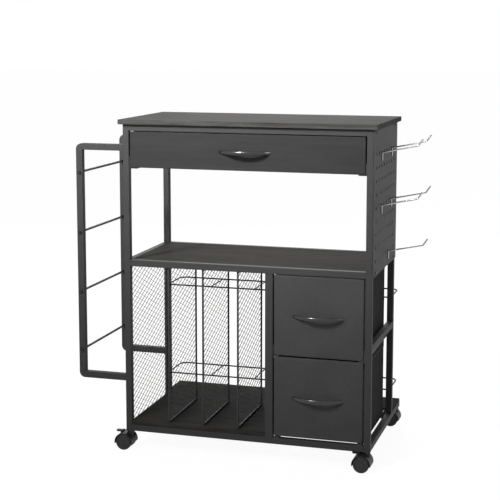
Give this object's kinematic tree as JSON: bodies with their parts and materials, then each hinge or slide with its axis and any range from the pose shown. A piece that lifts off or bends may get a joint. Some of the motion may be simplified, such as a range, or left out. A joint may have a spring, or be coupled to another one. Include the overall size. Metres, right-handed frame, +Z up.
{
  "type": "rolling drawer organizer cart",
  "caption": "Rolling craft cart with a top board, open shelf, mesh bag dividers, sliding drawers, perforated side panel with hooks, side roll holder, rear roll guards and swivel casters.",
  "frame": {"origin": "bottom centre of the box round the whole cart, on the floor under the wheels", "axes": "+X to the right seen from the front, +Y to the rear, +Z up"},
  "size_m": [0.8588, 0.443, 0.8405],
  "materials": {
    "dark_wood_board": "matt charcoal foil with a faint wood grain",
    "drawer_panel": "matt charcoal board",
    "drawer_tray": "matt charcoal board",
    "drawer_fabric": "woven charcoal fabric over board",
    "handle_gloss": "glossy black",
    "hook_chrome": "bright plated wire",
    "perforated_sheet": "charcoal powder coat",
    "mesh_steel": "black powder coat",
    "wire_steel": "black powder coat",
    "fastener_black": "black finish",
    "caster_plastic": "satin black plastic",
    "caster_wheel": "satin charcoal plastic",
    "stem_steel": "zinc plated",
    "frame_steel": "charcoal powder coat"
  },
  "bodies": {
    "frame": {"post_front_left": "frame_steel", "post_rear_left": "frame_steel", "post_front_right": "frame_steel", "post_rear_right": "frame_steel", "middle_posts": "frame_steel", "top_rail_front": "frame_steel", "top_rail_rear": "frame_steel", "top_side_rails": "frame_steel", "shelf_rail_front": "frame_steel", "shelf_rail_rear": "frame_steel", "shelf_side_rails": "frame_steel", "base_rail_front": "frame_steel", "base_rail_middle": "frame_steel", "base_rail_rear": "frame_steel", "base_side_rails": "frame_steel", "drawer_side_rails": "frame_steel", "top_board": "dark_wood_board", "shelf_board": "dark_wood_board", "bay_board": "dark_wood_board", "rear_board": "dark_wood_board", "left_mesh_panel": "mesh_steel", "bag_divider_1": "mesh_steel", "bag_divider_2": "mesh_steel", "bag_divider_3": "mesh_steel", "pegboard": "perforated_sheet", "peg_screws": "fastener_black", "peg_hooks": "hook_chrome", "roll_bracket_front": "frame_steel", "roll_bracket_rear": "frame_steel", "roll_rod_1": "wire_steel", "roll_rod_2": "wire_steel", "roll_rod_3": "wire_steel", "roll_rod_4": "wire_steel", "rod_nuts": "fastener_black", "rear_guard_upper": "wire_steel", "rear_guard_lower": "wire_steel", "top_drawer_runners": "frame_steel", "upper_drawer_runners": "frame_steel", "lower_drawer_bars": "frame_steel", "tube_plugs": "caster_plastic", "caster_stems": "stem_steel"},
    "top_drawer": {"top_drawer_front": "drawer_panel", "top_drawer_tray": "drawer_tray", "top_drawer_handle": "handle_gloss"},
    "upper_drawer": {"upper_drawer_front": "drawer_fabric", "upper_drawer_bin": "drawer_fabric", "upper_drawer_handle": "handle_gloss"},
    "lower_drawer": {"lower_drawer_front": "drawer_fabric", "lower_drawer_bin": "drawer_fabric", "lower_drawer_handle": "handle_gloss"},
    "caster_front_left": {"caster_housing_front_left": "caster_plastic"},
    "wheels_front_left": {"caster_wheels_front_left": "caster_wheel"},
    "brake_front_left": {"brake_lever_front_left": "caster_plastic"},
    "caster_front_right": {"caster_housing_front_right": "caster_plastic"},
    "wheels_front_right": {"caster_wheels_front_right": "caster_wheel"},
    "brake_front_right": {"brake_lever_front_right": "caster_plastic"},
    "caster_rear_left": {"caster_housing_rear_left": "caster_plastic"},
    "wheels_rear_left": {"caster_wheels_rear_left": "caster_wheel"},
    "caster_rear_right": {"caster_housing_rear_right": "caster_plastic"},
    "wheels_rear_right": {"caster_wheels_rear_right": "caster_wheel"}
  },
  "joints": [
    {"name": "top_drawer_slide", "type": "slide", "parent": "frame", "child": "top_drawer", "axis": [0, -1, 0], "range_m": [0, 0.22]},
    {"name": "upper_drawer_slide", "type": "slide", "parent": "frame", "child": "upper_drawer", "axis": [0, -1, 0], "range_m": [0, 0.22]},
    {"name": "lower_drawer_slide", "type": "slide", "parent": "frame", "child": "lower_drawer", "axis": [0, -1, 0], "range_m": [0, 0.22]},
    {"name": "front_left_swivel", "type": "hinge", "parent": "frame", "child": "caster_front_left", "pos_m": [-0.29542, -0.1885, 0.046], "axis": [0, 0, 1], "continuous": true},
    {"name": "front_left_roll", "type": "hinge", "parent": "caster_front_left", "child": "wheels_front_left", "pos_m": [-0.30742, -0.1885, 0.02], "axis": [0, 1, 0], "continuous": true},
    {"name": "front_left_brake", "type": "hinge", "parent": "caster_front_left", "child": "brake_front_left", "pos_m": [-0.31642, -0.1885, 0.04466], "axis": [0, -1, 0], "range_deg": [0, 18]},
    {"name": "front_right_swivel", "type": "hinge", "parent": "frame", "child": "caster_front_right", "pos_m": [0.31858, -0.1885, 0.046], "axis": [0, 0, 1], "continuous": true},
    {"name": "front_right_roll", "type": "hinge", "parent": "caster_front_right", "child": "wheels_front_right", "pos_m": [0.30658, -0.1885, 0.02], "axis": [0, 1, 0], "continuous": true},
    {"name": "front_right_brake", "type": "hinge", "parent": "caster_front_right", "child": "brake_front_right", "pos_m": [0.29758, -0.1885, 0.04466], "axis": [0, -1, 0], "range_deg": [0, 18]},
    {"name": "rear_left_swivel", "type": "hinge", "parent": "frame", "child": "caster_rear_left", "pos_m": [-0.29542, 0.1985, 0.046], "axis": [0, 0, 1], "continuous": true},
    {"name": "rear_left_roll", "type": "hinge", "parent": "caster_rear_left", "child": "wheels_rear_left", "pos_m": [-0.30742, 0.1985, 0.02], "axis": [0, 1, 0], "continuous": true},
    {"name": "rear_right_swivel", "type": "hinge", "parent": "frame", "child": "caster_rear_right", "pos_m": [0.31858, 0.1985, 0.046], "axis": [0, 0, 1], "continuous": true},
    {"name": "rear_right_roll", "type": "hinge", "parent": "caster_rear_right", "child": "wheels_rear_right", "pos_m": [0.30658, 0.1985, 0.02], "axis": [0, 1, 0], "continuous": true}
  ]
}
